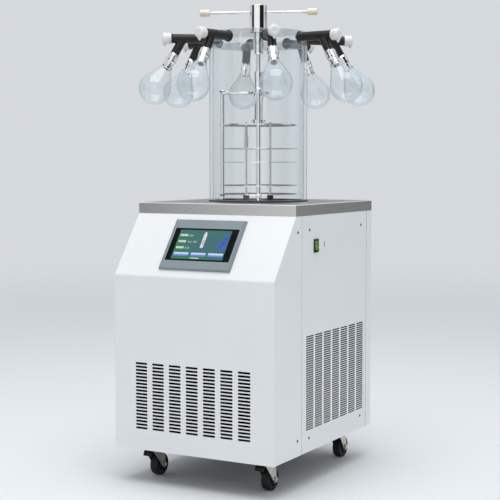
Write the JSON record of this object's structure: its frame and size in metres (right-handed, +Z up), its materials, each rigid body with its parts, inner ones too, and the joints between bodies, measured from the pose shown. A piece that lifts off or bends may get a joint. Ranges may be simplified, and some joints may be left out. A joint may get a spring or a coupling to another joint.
{
  "type": "freeze dryer",
  "caption": "Floor-standing laboratory freeze dryer on casters: cabinet with touch screen and cold trap, clear drying chamber with stoppering rack, and ported lid with valves and flasks.",
  "frame": {"origin": "on the floor under the middle of the whole machine, flasks included", "axes": "+Z up, -Y to the front with the slanted console, +X to the side with the power switch"},
  "size_m": [0.683, 0.7122, 1.3353],
  "materials": {
    "cabinet_paint": "satin",
    "galvanised_frame": "galvanised",
    "stainless": "brushed",
    "grey_plastic": "satin",
    "screen_glass": "glossy display",
    "black_plastic": "matte",
    "green_plastic": "gloss",
    "zinc": "zinc plated",
    "wheel_rubber": "matte",
    "compressor_iron": "black enamel",
    "condenser_fins": "fins",
    "black_rubber": "matte",
    "clear_acrylic": "clear polished",
    "knob_plastic": "satin translucent",
    "flask_glass": "clear",
    "chrome": "polished"
  },
  "bodies": {
    "cabinet": {"screen_bezel": "grey_plastic", "screen_glass": "screen_glass", "chassis": "galvanised_frame", "front_cover": "cabinet_paint", "right_side_cover": "cabinet_paint", "left_side_cover": "cabinet_paint", "rear_cover": "cabinet_paint", "worktop": "stainless", "switch_frame": "black_plastic", "cold_trap": "stainless", "vacuum_pipe": "stainless", "power_inlet": "black_plastic", "compressor": "compressor_iron", "condenser": "condenser_fins", "chamber_gasket": "black_rubber", "chamber_cylinder": "clear_acrylic", "chamber_lid": "clear_acrylic", "valve_1": "black_rubber", "flask_1": "flask_glass", "valve_2": "black_rubber", "flask_2": "flask_glass", "valve_3": "black_rubber", "flask_3": "flask_glass", "valve_4": "black_rubber", "flask_4": "flask_glass", "valve_5": "black_rubber", "flask_5": "flask_glass", "valve_6": "black_rubber", "flask_6": "flask_glass", "valve_7": "black_rubber", "flask_7": "flask_glass", "valve_8": "black_rubber", "flask_8": "flask_glass", "press_frame": "chrome", "shelf_1": "stainless"},
    "swivel_front_left": {"caster_fork_front_left": "zinc"},
    "wheel_front_left": {"caster_wheel_front_left": "wheel_rubber"},
    "pedal_front_left": {"brake_pedal_front_left": "black_plastic"},
    "swivel_front_right": {"caster_fork_front_right": "zinc"},
    "wheel_front_right": {"caster_wheel_front_right": "wheel_rubber"},
    "pedal_front_right": {"brake_pedal_front_right": "black_plastic"},
    "swivel_rear_left": {"caster_fork_rear_left": "zinc"},
    "wheel_rear_left": {"caster_wheel_rear_left": "wheel_rubber"},
    "swivel_rear_right": {"caster_fork_rear_right": "zinc"},
    "wheel_rear_right": {"caster_wheel_rear_right": "wheel_rubber"},
    "rocker": {"switch_rocker": "green_plastic"},
    "fan": {"condenser_fan": "black_plastic"},
    "knob_1": {"valve_knob_1": "knob_plastic"},
    "knob_2": {"valve_knob_2": "knob_plastic"},
    "knob_3": {"valve_knob_3": "knob_plastic"},
    "knob_4": {"valve_knob_4": "knob_plastic"},
    "knob_5": {"valve_knob_5": "knob_plastic"},
    "knob_6": {"valve_knob_6": "knob_plastic"},
    "knob_7": {"valve_knob_7": "knob_plastic"},
    "knob_8": {"valve_knob_8": "knob_plastic"},
    "handle": {"press_handle": "chrome"},
    "press": {"press_plate": "chrome"},
    "screw": {"press_screw": "chrome"},
    "upper_shelf": {"shelf_3": "stainless"},
    "middle_shelf": {"shelf_2": "stainless"}
  },
  "joints": [
    {"name": "swivel_front_left_turn", "type": "hinge", "parent": "cabinet", "child": "swivel_front_left", "pos_m": [-0.178, -0.27013, 0.088], "axis": [0, 0, 1], "continuous": true},
    {"name": "wheel_front_left_roll", "type": "hinge", "parent": "swivel_front_left", "child": "wheel_front_left", "pos_m": [-0.178, -0.24413, 0.0315], "axis": [1, 0, 0], "continuous": true},
    {"name": "pedal_front_left_press", "type": "hinge", "parent": "swivel_front_left", "child": "pedal_front_left", "pos_m": [-0.178, -0.29013, 0.079], "axis": [1, 0, 0], "range_deg": [0, 15]},
    {"name": "swivel_front_right_turn", "type": "hinge", "parent": "cabinet", "child": "swivel_front_right", "pos_m": [0.178, -0.27013, 0.088], "axis": [0, 0, 1], "continuous": true},
    {"name": "wheel_front_right_roll", "type": "hinge", "parent": "swivel_front_right", "child": "wheel_front_right", "pos_m": [0.178, -0.24413, 0.0315], "axis": [1, 0, 0], "continuous": true},
    {"name": "pedal_front_right_press", "type": "hinge", "parent": "swivel_front_right", "child": "pedal_front_right", "pos_m": [0.178, -0.29013, 0.079], "axis": [1, 0, 0], "range_deg": [0, 15]},
    {"name": "swivel_rear_left_turn", "type": "hinge", "parent": "cabinet", "child": "swivel_rear_left", "pos_m": [-0.178, 0.17687, 0.088], "axis": [0, 0, 1], "continuous": true},
    {"name": "wheel_rear_left_roll", "type": "hinge", "parent": "swivel_rear_left", "child": "wheel_rear_left", "pos_m": [-0.178, 0.20287, 0.0315], "axis": [1, 0, 0], "continuous": true},
    {"name": "swivel_rear_right_turn", "type": "hinge", "parent": "cabinet", "child": "swivel_rear_right", "pos_m": [0.178, 0.17687, 0.088], "axis": [0, 0, 1], "continuous": true},
    {"name": "wheel_rear_right_roll", "type": "hinge", "parent": "swivel_rear_right", "child": "wheel_rear_right", "pos_m": [0.178, 0.20287, 0.0315], "axis": [1, 0, 0], "continuous": true},
    {"name": "switch_rock", "type": "hinge", "parent": "cabinet", "child": "rocker", "pos_m": [0.25, -0.11413, 0.657], "axis": [0, 1, 0], "range_deg": [0, 20]},
    {"name": "fan_spin", "type": "hinge", "parent": "cabinet", "child": "fan", "pos_m": [0.1547, 0.01487, 0.285], "axis": [1, 0, 0], "continuous": true},
    {"name": "knob_1_turn", "type": "hinge", "parent": "cabinet", "child": "knob_1", "pos_m": [0.26152, -0.01842, 1.236], "axis": [0.9921, -0.1253, 0], "range_deg": [0, 180]},
    {"name": "knob_2_turn", "type": "hinge", "parent": "cabinet", "child": "knob_2", "pos_m": [0.20828, 0.17618, 1.236], "axis": [0.7902, 0.6129, 0], "range_deg": [0, 180]},
    {"name": "knob_3_turn", "type": "hinge", "parent": "cabinet", "child": "knob_3", "pos_m": [0.03304, 0.27614, 1.236], "axis": [0.1253, 0.9921, 0], "range_deg": [0, 180]},
    {"name": "knob_4_turn", "type": "hinge", "parent": "cabinet", "child": "knob_4", "pos_m": [-0.16156, 0.2229, 1.236], "axis": [-0.6129, 0.7902, 0], "range_deg": [0, 180]},
    {"name": "knob_5_turn", "type": "hinge", "parent": "cabinet", "child": "knob_5", "pos_m": [-0.26152, 0.04765, 1.236], "axis": [-0.9921, 0.1253, 0], "range_deg": [0, 180]},
    {"name": "knob_6_turn", "type": "hinge", "parent": "cabinet", "child": "knob_6", "pos_m": [-0.20828, -0.14695, 1.236], "axis": [-0.7902, -0.6129, 0], "range_deg": [0, 180]},
    {"name": "knob_7_turn", "type": "hinge", "parent": "cabinet", "child": "knob_7", "pos_m": [-0.03304, -0.24691, 1.236], "axis": [-0.1253, -0.9921, 0], "range_deg": [0, 180]},
    {"name": "knob_8_turn", "type": "hinge", "parent": "cabinet", "child": "knob_8", "pos_m": [0.16156, -0.19367, 1.236], "axis": [0.6129, -0.7902, 0], "range_deg": [0, 180]},
    {"name": "handle_turn", "type": "hinge", "parent": "cabinet", "child": "handle", "pos_m": [0, 0.01462, 1.3], "axis": [0, 0, -1], "range_deg": [0, 2160]},
    {"name": "press_drop", "type": "slide", "parent": "cabinet", "child": "press", "axis": [0, 0, -1], "range_m": [0, 0.036]},
    {"name": "screw_turn", "type": "hinge", "parent": "press", "child": "screw", "pos_m": [0, 0.01462, 1.1], "axis": [0, 0, -1], "range_deg": [0, 2160]},
    {"name": "upper_shelf_drop", "type": "slide", "parent": "cabinet", "child": "upper_shelf", "axis": [0, 0, -1], "range_m": [0, 0.024]},
    {"name": "middle_shelf_drop", "type": "slide", "parent": "cabinet", "child": "middle_shelf", "axis": [0, 0, -1], "range_m": [0, 0.012]}
  ],
  "couplings": [
    {"joint": "press_drop", "follows": "handle_turn", "m_per_rad": 0.0009549},
    {"joint": "screw_turn", "follows": "handle_turn", "ratio": 1},
    {"joint": "upper_shelf_drop", "follows": "handle_turn", "m_per_rad": 0.0006366},
    {"joint": "middle_shelf_drop", "follows": "handle_turn", "m_per_rad": 0.0003183}
  ]
}
